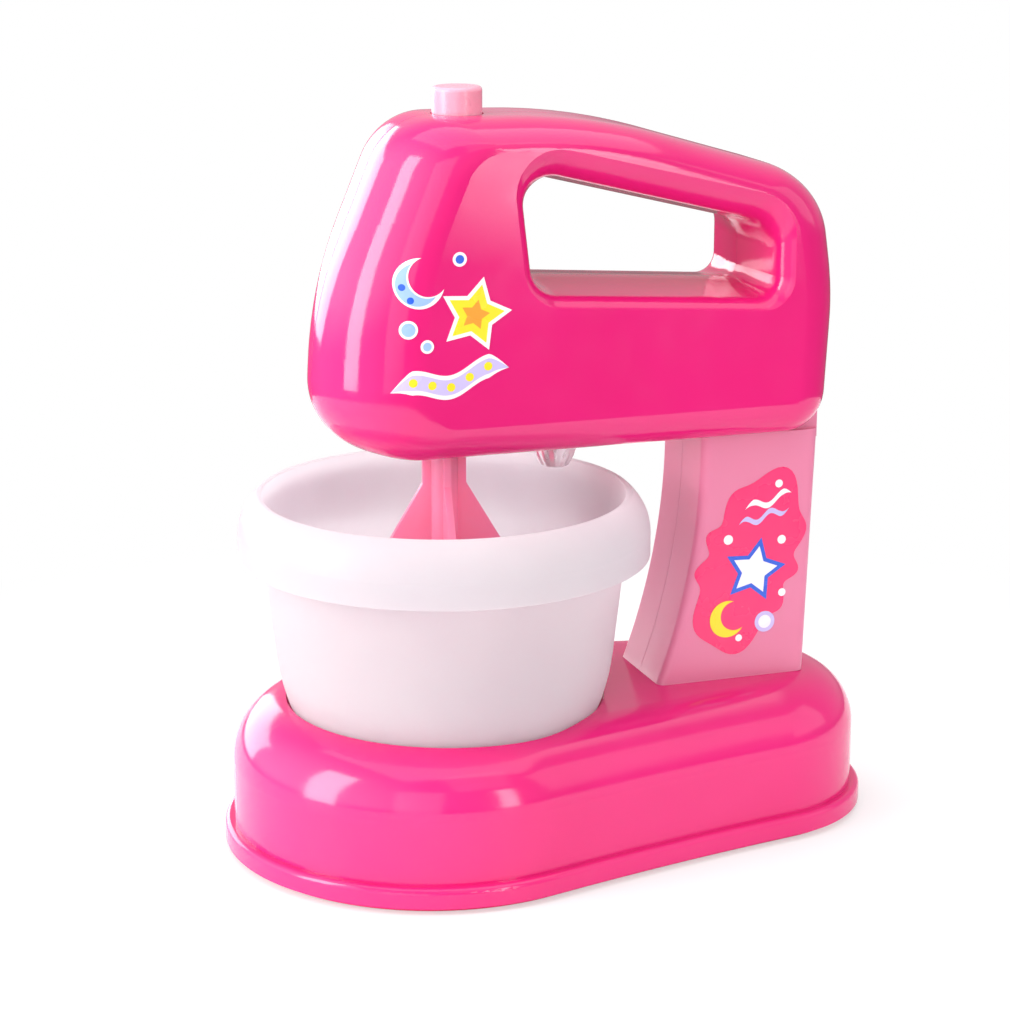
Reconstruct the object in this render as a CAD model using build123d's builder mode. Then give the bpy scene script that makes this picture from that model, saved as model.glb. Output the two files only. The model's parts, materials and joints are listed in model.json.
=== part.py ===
# Toy stand mixer: a head that tilts on a hinged column and drives a beater by motor,
# over a loose bowl that stands in the round recess of a battery base.
# Millimetres, +Z up, the nose points to -X, the origin lies under the middle of the base.
# In the comments "left" is the -Y side and "right" the +Y side.
import os
from math import acos, cos, pi, radians, sin, tan

from build123d import *

os.makedirs("parts", exist_ok=True)

# Base: two lobes joined by a faint waist
base_front_r = 46.3
base_rear_r = 31.3
lobe_spacing = 68.6
waist_r = 620.0
base_top = 32.2
base_wall = 2.2
base_crown_r = 13.0
flange_out = 2.1
flange_h = 4.3
flange_edge_r = 1.2
plate_rim_h = 1.2
plate_t = 2.6
recess_gap = 0.6
recess_depth = 3.7

# Bowl: its axis is the axis of the beater
bowl_back = 2.4
bowl_height = 48.8
bowl_foot_r = 34.2
bowl_waist_r = 36.65
bowl_waist_h = 14.0
bowl_lip_r = 40.5
bowl_wall = 1.4
bowl_floor = 2.2
bowl_foot_rise = 0.8
bowl_heel_r = 3.0
collar_r = 44.4
collar_h = 13.2
collar_shoulder_h = 8.0
collar_bulge = 0.9
collar_gap = 0.6

# Column, measured back from the bowl axis
column_top = 87.75
column_foot_front = 45.7
column_foot_rear = 80.7
column_top_front = 55.2
column_top_rear = 82.6
column_hollow = 2.8
column_half = 11.7
column_edge_r = 1.8
column_wall = 2.0
spigot_length = 16.0
spigot_half = 7.0
spigot_depth = 5.0
wire_half = 4.0

# Hinge between column and head
lug_r = 8.4
lug_half = 10.5
hinge_rise = 9.95
head_gap = 0.45
pin_r = 2.0
pin_half = 15.5
hinge_boss_r = 5.4
tilt_clear = 5.2

# Head: side outline, each side as a straight run, each corner with its own radius
head_half = 20.0
head_wall = 2.0
head_rise = 70.1
nose_reach = 29.3
nose_belly = 11.8
nose_low_lean = 3.4
nose_high_lean = 22.8
nose_bend = 31.8
crown_fall = 0.6
handle_fall = 16.2
handle_bend = 29.5
back_tuck = 1.1
back_low_lean = 3.0
back_high_lean = 8.6
back_bend = 31.0
back_bend_r = 70.0
chin_r = 15.0
heel_r = 18.0
crown_bend_r = 125.0
brow_r = 14.5
nose_bend_r = 85.0
least_flat = 0.5
nose_low_round = 19.0
nose_low_round_y = 20.0
nose_high_round = 15.0
nose_high_round_y = 16.0
crown_round = 6.0
crown_round_y = 13.0
back_round = 9.0
back_round_y = 10.0
belly_round = 7.5
belly_round_y = 7.5
lip_h = 1.2
rib_front = 3.0
rib_rear = 8.0
rib_rise = 10.0

# Handle opening through the head
grip_front = 15.6
grip_front_lean = 6.9
grip_rear = 67.1
grip_floor = 35.8
grip_floor_fall = 4.0
grip_roof = 57.7
grip_roof_fall = 13.9
grip_low_r = 5.0
grip_heel_r = 2.6
grip_high_r = 5.5
grip_draft = 6.0
grip_front_rim_r = 3.2
grip_floor_rim_r = 3.5
grip_rear_rim_r = 4.5
grip_roof_rim_r = 7.5

# Button, lamp and beater
button_x = 3.3
button_r = 5.25
button_up = 5.6
button_travel = 2.5
button_flange_r = 6.6
button_flange_t = 1.6
button_edge_r = 0.9
button_rest = 0.4
button_stem_r = 2.0
switch_side = 8.0
switch_h = 7.0
switch_shelf_t = 1.6
switch_shelf_rim = 2.0
switch_room = 2.0
stem_reach = 0.6
stem_room = 1.2
lamp_x = 25.2
lens_r = 5.7
lens_tip_r = 3.1
lens_drop = 6.8
lens_wall = 1.2
lens_flange_r = 6.5
lens_flange_t = 1.2
led_r = 2.5
led_length = 7.0
board_r = 5.6
board_t = 1.0
neck_r = 4.7
neck_drop = 8.6
vane_r = 15.0
vane_flare_h = 17.5
vane_h = 10.0
vane_end_r = 7.0
vane_t = 1.5
vane_turn = 8.0
hub_r = 3.0
hub_collar_r = 4.9
hub_up = 2.0

# Drive: motor pinion to compound wheel, compound pinion to beater wheel, on one centre distance
tooth_module = 0.5
pinion_teeth = 10
wheel_teeth = 36
tooth_tip_pinion = 0.5
tooth_tip_wheel = 0.3
tooth_clear = 0.15
tooth_play = 0.08
pressure_angle = 20.0
tray_lift = 5.2
tray_t = 1.6
tray_wall = 1.4
lid_t = 1.8
beater_wheel_t = 4.0
idler_wheel_t = 3.0
stage_gap = 2.0
wheel_room = 1.0
spindle_r = 1.5
idler_axle_r = 1.0
bush_r = 2.6
motor_r = 10.0
motor_flat = 7.5
motor_can_h = 20.0
motor_cap_h = 5.0
motor_shell = 0.8
motor_nose_r = 3.0
motor_nose_h = 1.6
motor_shaft_r = 1.0
armature_r = 6.5
armature_h = 12.0

# Batteries: two standard AA cells lying lengthways under the bowl
cell_d = 14.5
cell_length = 50.5
cell_nub_r = 2.75
cell_nub_h = 1.3
cell_space = 0.5
contact_room = 2.6
contact_t = 0.5
box_wall = 1.6
box_x = 4.0
door_t = 1.4
door_rim = 4.0
door_ear = 9.0

# Screws
screw_r = 1.1
screw_head_r = 2.1
screw_head_h = 1.4
screw_length = 10.0
boss_r = 3.7
small_screw_length = 6.0
small_boss_r = 2.0
screw_edge = 1.4
base_screw_front_turn = 36.6
base_screw_rear_turn = 110.0
foot_screw_inset = 5.0
foot_screw_y = 6.2
column_screw_front = 18.0
column_screw_low = 19.0
column_screw_high = 12.0
nose_screw_front = 15.0
nose_screw_rise = 26.8
brow_screw_front = 7.0
belly_screw_rise = 16.0
belly_screw_gap = 5.0

# Fits
run_fit = 0.05
body_gap = 0.3
seat_gap = 0.15

# Places that follow from the sizes above
base_length = base_front_r + lobe_spacing + base_rear_r
front_x = base_front_r - base_length / 2
rear_x = front_x + lobe_spacing
bowl_x = front_x + bowl_back
bowl_z = base_top - recess_depth + body_gap
recess_r = bowl_foot_r + recess_gap
head_z = column_top + head_gap
head_top = head_z + head_rise
hinge_x = column_top_rear - lug_r
hinge_z = column_top + hinge_rise
back_r = hinge_z - head_z
back_reach = hinge_x + back_r - back_tuck
pitch_pinion = tooth_module * pinion_teeth / 2
pitch_wheel = tooth_module * wheel_teeth / 2
gear_distance = pitch_pinion + pitch_wheel
wheel_tip_r = pitch_wheel + tooth_tip_wheel
tray_z = head_z + tray_lift
beater_wheel_z = tray_z + tray_t + wheel_room
idler_wheel_z = beater_wheel_z + beater_wheel_t + stage_gap
lid_z = idler_wheel_z + idler_wheel_t + stage_gap
motor_z = lid_z + lid_t
motor_top = motor_z + motor_can_h + motor_cap_h
lens_seat = head_z + head_wall + seat_gap
hub_top = head_z + hub_up
bush_length = tray_z + tray_t - hub_top - body_gap

# Working planes: "side" looks at the left flank, both have the bowl axis as zero
side = Plane(origin=(bowl_x, 0, 0), x_dir=(1, 0, 0), z_dir=(0, -1, 0))
level = Plane(origin=(bowl_x, 0, 0))
below = (Align.CENTER, Align.CENTER, Align.MAX)
above = (Align.CENTER, Align.CENTER, Align.MIN)


def base_outline(out):
    """Two lobes and two hollow waist arcs, moved outwards by a distance."""
    reach_f = base_front_r + waist_r
    reach_r = base_rear_r + waist_r
    along = (reach_f**2 - reach_r**2 + lobe_spacing**2) / (2 * lobe_spacing)
    across = (reach_f**2 - along**2) ** 0.5
    waist = Vector(front_x + along, across)
    to_front = (Vector(front_x, 0) - waist).normalized()
    to_rear = (Vector(rear_x, 0) - waist).normalized()
    hollow = waist_r - out
    f = waist + to_front * hollow
    m = waist + (to_front + to_rear).normalized() * hollow
    r = waist + to_rear * hollow
    with BuildLine() as line:
        ThreePointArc((f.X, f.Y), (m.X, m.Y), (r.X, r.Y))
        ThreePointArc((r.X, r.Y), (rear_x + base_rear_r + out, 0), (r.X, -r.Y))
        ThreePointArc((r.X, -r.Y), (m.X, -m.Y), (f.X, -f.Y))
        ThreePointArc((f.X, -f.Y), (front_x - base_front_r - out, 0), (f.X, f.Y))
    return line.line


def rounded_outline(sides, moved, radii):
    """Closed outline of straight runs (x, z, heading), each moved inwards, with round corners.

    Corner i lies between run i - 1 and run i. A rounding is limited by the two runs that it joins.
    """
    runs = []
    for (x, z, heading), d in zip(sides, moved):
        a = radians(heading)
        runs.append((Vector(x - sin(a) * d, z + cos(a) * d), Vector(cos(a), sin(a))))
    corners = []
    for (p, u), (q, v) in zip(runs[-1:] + runs[:-1], runs):
        step = (q - p).cross(v).Z / u.cross(v).Z
        corners.append((p + u * step, u, v))
    turns = [radians(u.get_angle(v)) / 2 for c, u, v in corners]
    bites = [r * tan(turn) for r, turn in zip(radii, turns)]
    room = []
    for here, after, bite, next_bite in zip(corners, corners[1:] + corners[:1], bites, bites[1:] + bites[:1]):
        run = (after[0] - here[0]).length
        room.append(min((run - least_flat) / (bite + next_bite), 1))
    with BuildLine() as line:
        ends = []
        for (c, u, v), turn, r, before, after in zip(corners, turns, radii, room[-1:] + room[:-1], room):
            r *= min(before, after)
            inward = (v - u).normalized()
            middle = c + inward * (r / cos(turn) - r)
            ends.append((c - u * r * tan(turn), middle, c + v * r * tan(turn)))
        for here, after in zip(ends, ends[1:] + ends[:1]):
            ThreePointArc(*here)
            Line(here[2], after[0])
    return line.line


def drawn_in(share, reach, width):
    """How far a rounded edge has drawn in at a share of the half width."""
    into = max(abs(share) * head_half - head_half + width, 0) / width
    return reach * (1 - (1 - into**2) ** 0.5)


nose_bend_x = (nose_bend - nose_belly) * tan(radians(nose_low_lean)) - nose_reach
head_sides = [
    (0, head_z, 0),
    (back_reach, head_z, 90 - back_low_lean),
    (back_reach + back_bend * tan(radians(back_low_lean)), head_z + back_bend, 90 + back_high_lean),
    (handle_bend, head_top - handle_bend * tan(radians(crown_fall)), 180 - handle_fall),
    (0, head_top, 180 - crown_fall),
    (nose_bend_x, head_z + nose_bend, 270 - nose_high_lean),
    (-nose_reach, head_z + nose_belly, 270 - nose_low_lean),
]
head_radii = [chin_r, back_r, back_bend_r, heel_r, crown_bend_r, brow_r, nose_bend_r]
belly = (belly_round, belly_round_y)
back = (back_round, back_round_y)
crown = (crown_round, crown_round_y)
nose_high = (nose_high_round, nose_high_round_y)
nose_low = (nose_low_round, nose_low_round_y)
head_rounds = [belly, back, back, crown, crown, nose_high, nose_low]
half_shares = [0, 0.3, 0.5, 0.66, 0.79, 0.88, 0.945, 0.985, 1]
shares = [-s for s in half_shares[:0:-1]] + half_shares


def head_section(share, inset):
    """Side outline of the head at a share of its half width, moved in by a wall."""
    moved = [drawn_in(share, reach, width) + inset for reach, width in head_rounds]
    radii = []
    for i, r in enumerate(head_radii):
        radii.append(max(r - min(moved[i - 1], moved[i]), 1.0))
    return rounded_outline(head_sides, moved, radii)


grip_sides = [
    (grip_front, head_z + grip_floor, -grip_floor_fall),
    (grip_rear, head_z + grip_floor, 90),
    (grip_front, head_z + grip_roof, 180 - grip_roof_fall),
    (grip_front, head_z + grip_floor, 270 + grip_front_lean),
]
grip_rims = [grip_floor_rim_r, grip_rear_rim_r, grip_roof_rim_r, grip_front_rim_r]
grip_radii = [grip_low_r, grip_heel_r, grip_high_r, grip_high_r]
grip_depths = [0, 0.35, 0.62, 0.72, 0.8, 0.87, 0.93, 0.975, 1.01]
grip_stations = [-s for s in grip_depths[:0:-1]] + grip_depths


def grip_section(share, outset):
    """Outline of the handle opening at a share of the half width, moved out by a wall."""
    depth = abs(share) * head_half
    draft = depth * tan(radians(grip_draft))
    moved = []
    for rim in grip_rims:
        into = max(depth - (head_half + body_gap - rim), 0) / rim
        moved.append(-(draft + rim * (1 - (1 - into**2) ** 0.5) + outset))
    radii = []
    for i, r in enumerate(grip_radii):
        radii.append(r - max(moved[i - 1], moved[i]))
    return rounded_outline(grip_sides, moved, radii)


def screw_group(seats, length):
    """Pan-head screws: each seat has its head on the +Z side and its shank on the -Z side."""
    with BuildPart() as group:
        with Locations(*seats):
            Cylinder(screw_head_r, screw_head_h, align=above)
            Cylinder(screw_r, length, align=below)
    return group.part


def involute(angle):
    """Polar angle swept by an involute flank at a pressure angle."""
    return tan(angle) - angle


def gear_teeth(teeth, tip, root):
    """Corner points of one involute tooth on the X axis, for a gear of this many teeth."""
    pitch = tooth_module * teeth / 2
    base = pitch * cos(radians(pressure_angle))
    half = pi / (2 * teeth) - tooth_play / (2 * pitch) + involute(radians(pressure_angle))
    start = max(base, root)
    flank = []
    for step in range(4):
        r = start + (tip - start) * step / 3
        flank.append((r, half - involute(acos(min(base / r, 1)))))
    flank.insert(0, (root - tooth_clear, flank[0][1]))
    upper = [(r * cos(a), r * sin(a)) for r, a in flank]
    lower = [(r * cos(a), -r * sin(a)) for r, a in reversed(flank)]
    return upper + lower


pinion_tip = pitch_pinion + tooth_tip_pinion
pinion_root = pitch_pinion - tooth_tip_wheel - tooth_clear
wheel_root = pitch_wheel - tooth_tip_pinion - tooth_clear
pinion_tooth = gear_teeth(pinion_teeth, pinion_tip, pinion_root)
wheel_tooth = gear_teeth(wheel_teeth, wheel_tip_r, wheel_root)
half_pitch = 180 / wheel_teeth

# Base shell: hollow moulding with a proud flange round its foot and the bowl recess on top
box_inner_l = cell_length + 2 * contact_room
box_inner_w = 2 * cell_d + 3 * cell_space
box_top = door_t + seat_gap + cell_d + cell_space
screw_inset = flange_out + base_wall + boss_r + screw_edge
base_screw_spots = []
for turn in (180 - base_screw_front_turn, 180 + base_screw_front_turn):
    reach = base_front_r - screw_inset
    base_screw_spots.append((reach * cos(radians(turn)) - bowl_back, reach * sin(radians(turn))))
for turn in (-base_screw_rear_turn, 0, base_screw_rear_turn):
    reach = base_rear_r - screw_inset
    rear_lobe = lobe_spacing - bowl_back
    base_screw_spots.append((reach * cos(radians(turn)) + rear_lobe, reach * sin(radians(turn))))
foot_screw_spots = []
for x in (column_foot_front + foot_screw_inset, column_foot_rear - foot_screw_inset):
    for y in (-foot_screw_y, foot_screw_y):
        foot_screw_spots.append((x, y))
spigot_x = (column_foot_front + column_foot_rear) / 2

with BuildPart() as base_void:
    with BuildSketch(Plane.XY):
        add(base_outline(-flange_out - base_wall))
        make_face()
    extrude(amount=base_top - base_wall)
    fillet(base_void.faces().sort_by(Axis.Z)[-1].edges(), base_crown_r - base_wall)
    with Locations(level.location):
        with Locations((0, 0, base_top - recess_depth - base_wall)):
            Cylinder(recess_r + base_wall, base_top, align=above, mode=Mode.SUBTRACT)
        with Locations(*[(x, y, plate_t) for x, y in base_screw_spots]):
            Cylinder(boss_r, base_top, align=above, mode=Mode.SUBTRACT)

with BuildPart() as base_shell:
    with BuildSketch(Plane.XY.offset(plate_rim_h)):
        add(base_outline(0))
        make_face()
    extrude(amount=flange_h)
    fillet(base_shell.faces().sort_by(Axis.Z)[-1].edges(), flange_edge_r)
    with BuildSketch(Plane.XY.offset(plate_rim_h)):
        add(base_outline(-flange_out))
        make_face()
    extrude(amount=base_top - plate_rim_h)
    fillet(base_shell.faces().sort_by(Axis.Z)[-1].edges(), base_crown_r)
    add(base_void.part, mode=Mode.SUBTRACT)
    with Locations(level.location):
        with Locations((0, 0, base_top - recess_depth)):
            Cylinder(recess_r, base_top, align=above, mode=Mode.SUBTRACT)
        with Locations((spigot_x, 0, base_top)):
            spigot_l = spigot_length + 2 * seat_gap
            Box(spigot_l, 2 * (spigot_half + seat_gap), base_top / 2, mode=Mode.SUBTRACT)
        with Locations(*[(x, y, base_top) for x, y in foot_screw_spots]):
            Cylinder(screw_r + seat_gap, base_top / 2, mode=Mode.SUBTRACT)
        with Locations(*[(x, y, plate_t) for x, y in base_screw_spots]):
            Cylinder(screw_r, screw_length, align=above, mode=Mode.SUBTRACT)
base_shell.part.label = "base_shell"
export_step(base_shell.part, "parts/base_shell.step")

# Base plate: closes the shell from below and carries the battery box
box_end = box_inner_l / 2
box_side = box_inner_w / 2
door_x = box_x + door_ear / 2
door_l = box_inner_l + 2 * door_rim + door_ear
door_w = box_inner_w + door_rim
door_screw_x = box_x + box_end + box_wall + boss_r

with BuildPart() as base_plate:
    with BuildSketch(Plane.XY):
        add(base_outline(-flange_out))
        make_face()
    extrude(amount=plate_rim_h)
    with BuildSketch(Plane.XY.offset(plate_rim_h)):
        add(base_outline(-flange_out - base_wall - seat_gap))
        make_face()
    extrude(amount=plate_t - plate_rim_h)
    with Locations(level.location):
        with Locations((box_x, 0, 0)):
            Box(box_inner_l + 2 * box_wall, box_inner_w + 2 * box_wall, box_top + box_wall, align=above)
            Box(box_inner_l, box_inner_w, box_top, align=above, mode=Mode.SUBTRACT)
        with Locations((door_screw_x, 0, 0)):
            Cylinder(boss_r, screw_length, align=above)
            Cylinder(screw_r, screw_length, align=above, mode=Mode.SUBTRACT)
        with Locations((door_x, 0, 0)):
            door_room = door_t + seat_gap
            Box(door_l + 2 * seat_gap, door_w + 2 * seat_gap, door_room, align=above, mode=Mode.SUBTRACT)
        with Locations(*[(x, y, 0) for x, y in base_screw_spots]):
            Cylinder(screw_r + seat_gap, plate_t, align=above, mode=Mode.SUBTRACT)
            Cylinder(screw_head_r + body_gap, screw_head_h, align=above, mode=Mode.SUBTRACT)
base_plate.part.label = "base_plate"
export_step(base_plate.part, "parts/base_plate.step")

# Battery door: flat cover held by one screw, with the cells lying on it
with BuildPart() as battery_door:
    with Locations(level.location):
        with Locations((door_x, 0, seat_gap)):
            Box(door_l, door_w, door_t, align=above)
        with Locations((door_screw_x, 0, 0)):
            Cylinder(screw_r + seat_gap, base_top, mode=Mode.SUBTRACT)
            Cylinder(screw_head_r + body_gap, screw_head_h - seat_gap, align=above, mode=Mode.SUBTRACT)
battery_door.part.label = "battery_door"
export_step(battery_door.part, "parts/battery_door.step")

# Screws of the base: a head recessed in the underside, a shank up into its boss
under = Location((bowl_x, 0, 0), (180, 0, 0))
base_screws = screw_group(
    [under * Location((x, -y, -screw_head_h)) for x, y in base_screw_spots], screw_length - screw_head_h
)
base_screws.label = "base_screws"
export_step(base_screws, "parts/base_screws.step")
door_screw = screw_group([under * Location((door_screw_x, 0, -screw_head_h + seat_gap))], screw_length / 2)
door_screw.label = "battery_door_screw"
export_step(door_screw, "parts/battery_door_screw.step")

# Two AA cells side by side, poles opposed, resting on the door
cell_z = seat_gap + door_t + cell_d / 2
cell_y = (cell_d + cell_space) / 2
cell_seats = []
for way in (-1, 1):
    cell_seats.append(Plane(origin=(bowl_x + box_x, way * cell_y, cell_z), z_dir=(way, 0, 0)))

with BuildPart() as battery_cells:
    with Locations(*cell_seats):
        Cylinder(cell_d / 2, cell_length - 2 * cell_nub_h)
        Cylinder(cell_nub_r, cell_length / 2, align=above)
battery_cells.part.label = "battery_cells"
export_step(battery_cells.part, "parts/battery_cells.step")

# Contacts: a plate against each end of the box for each cell, pressed out to meet the pole
with BuildPart() as battery_contacts:
    with Locations(*cell_seats):
        with Locations((0, 0, box_end)):
            Cylinder(cell_d / 2 - cell_space, contact_t, align=below)
            Cylinder(cell_nub_r, contact_room, align=below)
        with Locations((0, 0, -box_end)):
            Cylinder(cell_d / 2 - cell_space, contact_t, align=above)
            Cylinder(cell_nub_r, contact_room + cell_nub_h, align=above)
battery_contacts.part.label = "battery_contacts"
export_step(battery_contacts.part, "parts/battery_contacts.step")

# Column: two hollow halves with a hollowed front, carrying the hinge lug on their top
column_screw_spots = [
    (column_foot_front + column_screw_front, base_top + column_screw_low),
    (column_top_front + column_screw_front - boss_r, column_top - column_screw_high),
]
wire_front = hinge_x - lug_r + column_wall


def column_profile(inset):
    """Side outline of the column, moved in by a wall."""
    front = (column_top_front + column_foot_front) / 2 + column_hollow
    with BuildLine() as line:
        Line((column_foot_front + inset, base_top + inset), (column_foot_rear - inset, base_top + inset))
        Line((column_foot_rear - inset, base_top + inset), (column_top_rear - inset, column_top - inset))
        Line((column_top_rear - inset, column_top - inset), (column_top_front + inset, column_top - inset))
        ThreePointArc(
            (column_top_front + inset, column_top - inset),
            (front + inset, (column_top + base_top) / 2),
            (column_foot_front + inset, base_top + inset),
        )
    return line.line


with BuildPart() as column_void:
    with BuildSketch(side):
        add(column_profile(column_wall))
        make_face()
    extrude(amount=column_half - column_wall, both=True)
    with Locations(level.location):
        with Locations(*[(x, y, base_top) for x, y in foot_screw_spots]):
            Cylinder(boss_r, screw_length + column_wall, align=above, mode=Mode.SUBTRACT)
    with Locations(side.location):
        with Locations(*column_screw_spots):
            Cylinder(boss_r, 2 * column_half, mode=Mode.SUBTRACT)

with BuildPart() as column_body:
    with BuildSketch(side):
        add(column_profile(0))
        make_face()
    extrude(amount=column_half, both=True)
    flanks = column_body.faces().filter_by(Axis.Y).edges()
    ends = column_body.faces().filter_by(Axis.Z).edges()
    fillet([e for e in flanks if e not in ends], column_edge_r)
    with BuildSketch(side):
        with Locations((hinge_x, hinge_z)):
            Circle(lug_r)
            Rectangle(2 * lug_r, hinge_rise + column_wall, align=(Align.CENTER, Align.MAX))
    extrude(amount=lug_half, both=True)
    with Locations(level.location):
        with Locations((spigot_x, 0, base_top)):
            Box(spigot_length, 2 * spigot_half, spigot_depth, align=below)
    add(column_void.part, mode=Mode.SUBTRACT)
    with Locations(level.location):
        with Locations((spigot_x, 0, base_top)):
            Box(spigot_length - 2 * column_wall, 2 * wire_half, base_top, mode=Mode.SUBTRACT)
        with Locations((wire_front, 0, column_top - 2 * column_wall)):
            Box(
                hinge_x - pin_r - column_wall - wire_front,
                2 * wire_half,
                column_top,
                align=(Align.MIN, Align.CENTER, Align.MIN),
                mode=Mode.SUBTRACT,
            )
        with Locations(*[(x, y, base_top) for x, y in foot_screw_spots]):
            Cylinder(screw_r, screw_length, align=above, mode=Mode.SUBTRACT)
    with Locations(side.location):
        with Locations((hinge_x, hinge_z)):
            Cylinder(pin_r + run_fit, 2 * column_half, mode=Mode.SUBTRACT)

with BuildPart() as column_left:
    add(column_body.part)
    split(bisect_by=Plane.XZ, keep=Keep.TOP)
    with Locations(side.location):
        with Locations(*column_screw_spots):
            Cylinder(screw_r, column_half - column_wall, align=above, mode=Mode.SUBTRACT)
column_left.part.label = "column_left"
export_step(column_left.part, "parts/column_left.step")

with BuildPart() as column_right:
    add(column_body.part)
    split(bisect_by=Plane.XZ, keep=Keep.BOTTOM)
    with Locations(side.location):
        with Locations(*column_screw_spots):
            Cylinder(screw_r + seat_gap, column_half, align=below, mode=Mode.SUBTRACT)
        with Locations(*[(x, z, -column_half / 2) for x, z in column_screw_spots]):
            Cylinder(screw_head_r + body_gap, column_half, align=below, mode=Mode.SUBTRACT)
column_right.part.label = "column_right"
export_step(column_right.part, "parts/column_right.step")

# Screws of the column: two across its halves, four up into its foot from inside the base
from_right = Location((bowl_x, 0, 0), (-90, 0, 0))
column_screws = screw_group(
    [from_right * Location((x, -z, column_half / 2)) for x, z in column_screw_spots], screw_length
)
column_screws.label = "column_screws"
export_step(column_screws, "parts/column_screws.step")
foot_screws = screw_group(
    [under * Location((x, -y, base_wall - base_top)) for x, y in foot_screw_spots], screw_length
)
foot_screws.label = "column_foot_screws"
export_step(foot_screws, "parts/column_foot_screws.step")

# Bowl: a flared tub with a rounded foot, whose rim turns outwards and down into a skirted collar
bowl_slope = (bowl_lip_r - bowl_waist_r) / (bowl_height - bowl_waist_h)


def tub_r(z):
    """Outer radius of the bowl's straight wall at a height above its foot."""
    return bowl_waist_r + bowl_slope * (z - bowl_waist_h)


def shoulder(start, end):
    """Arc of the collar from the rim out to the skirt, bulging away from the bowl's axis."""
    chord = Vector(*end) - Vector(*start)
    bulge = Vector(-chord.Y, chord.X).normalized() * collar_bulge
    return ThreePointArc(start, Vector(*start) + chord / 2 + bulge, end)


pocket_z = bowl_height - 2 * bowl_wall
skirt_top = bowl_height - collar_shoulder_h
skirt_foot = bowl_height - collar_h
floor_z = bowl_foot_rise + bowl_floor
heel_z = floor_z + bowl_heel_r

with BuildPart() as bowl:
    with BuildSketch(Plane(origin=(bowl_x, 0, bowl_z), x_dir=(1, 0, 0), z_dir=(0, -1, 0))):
        with BuildLine():
            heel = bowl_foot_r - bowl_heel_r
            Polyline(
                (0, floor_z),
                (0, bowl_foot_rise),
                (heel - 3 * bowl_wall, bowl_foot_rise),
                (heel - 2 * bowl_wall, 0),
                (heel, 0),
            )
            wall = Line((tub_r(pocket_z), pocket_z), (bowl_waist_r, bowl_waist_h))
            turn_in = TangentArc(wall @ 1, (bowl_foot_r, bowl_heel_r), tangent=wall % 1)
            TangentArc(turn_in @ 1, (heel, 0), tangent=turn_in % 1)
            Line((tub_r(pocket_z), pocket_z), (tub_r(pocket_z) + collar_gap, pocket_z))
            shoulder((tub_r(pocket_z) + collar_gap, pocket_z), (collar_r - bowl_wall, skirt_top))
            Line((collar_r - bowl_wall, skirt_top), (collar_r - bowl_wall, skirt_foot))
            ThreePointArc(
                (collar_r - bowl_wall, skirt_foot),
                (collar_r - bowl_wall / 2, skirt_foot - bowl_wall / 4),
                (collar_r, skirt_foot),
            )
            Line((collar_r, skirt_foot), (collar_r, skirt_top))
            shoulder((bowl_lip_r, bowl_height), (collar_r, skirt_top))
            ThreePointArc(
                (bowl_lip_r, bowl_height),
                (bowl_lip_r - bowl_wall / 2, bowl_height + bowl_wall / 5),
                (bowl_lip_r - bowl_wall, bowl_height),
            )
            inner = Line((bowl_lip_r - bowl_wall, bowl_height), (bowl_waist_r - bowl_wall, bowl_waist_h))
            inner_turn = TangentArc(inner @ 1, (bowl_foot_r - bowl_wall, heel_z), tangent=inner % 1)
            TangentArc(inner_turn @ 1, (bowl_foot_r - bowl_wall - bowl_heel_r, floor_z), tangent=inner_turn % 1)
            Line((bowl_foot_r - bowl_wall - bowl_heel_r, floor_z), (0, floor_z))
        make_face()
    revolve(axis=Axis((bowl_x, 0, 0), (0, 0, 1)))
bowl.part.label = "bowl"
export_step(bowl.part, "parts/bowl.step")

# Head: what fills its hollow, so that shell, bosses and ribs are one moulding in each half
head_screw_spots = [
    (-nose_screw_front, head_z + nose_screw_rise),
    (-brow_screw_front, head_top - crown_round - boss_r),
    (lamp_x + lens_flange_r + belly_screw_gap, head_z + belly_screw_rise),
    (hinge_x - lug_r - boss_r - belly_screw_gap, head_z + belly_screw_rise),
]
tray_front = wheel_tip_r + wheel_room + tray_wall
tray_rear = gear_distance + tray_front
tray_half = tray_front
switch_z = head_top - head_wall - button_flange_t - button_travel - switch_h - switch_room

with BuildPart() as head_ribs:
    with Locations(level.location):
        for x in (rib_front - tray_front, tray_rear - rib_rear):
            with Locations((x, 0, head_z)):
                Box(head_wall, 2 * head_half, motor_z - head_z + rib_rise, align=above)
        with Locations((0, 0, tray_z)):
            Box(4 * tray_rear, 2 * (tray_half + seat_gap), head_rise, align=above, mode=Mode.SUBTRACT)
        with Locations((button_x, 0, switch_z)):
            Box(switch_side + 2 * switch_shelf_rim, 2 * head_half, switch_shelf_t, align=below)
    with Locations(side.location):
        with Locations(*head_screw_spots):
            Cylinder(boss_r, 2 * head_half)
        for way in (-1, 1):
            with Locations((hinge_x, hinge_z, way * (head_half + lug_half + body_gap) / 2)):
                Cylinder(hinge_boss_r, head_half - lug_half - body_gap)

with BuildPart() as grip_tube:
    for s in grip_stations:
        with BuildSketch(side.offset(s * head_half)):
            add(grip_section(s, head_wall))
            make_face()
    loft()

with BuildPart() as grip_hole:
    for s in grip_stations:
        with BuildSketch(side.offset(s * head_half)):
            add(grip_section(s, 0))
            make_face()
    loft()

with BuildPart() as head_void:
    for s in shares:
        with BuildSketch(side.offset(s * (head_half - head_wall))):
            add(head_section(s, head_wall))
            make_face()
    loft()
    add(grip_tube.part, mode=Mode.SUBTRACT)
    add(head_ribs.part, mode=Mode.SUBTRACT)

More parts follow.
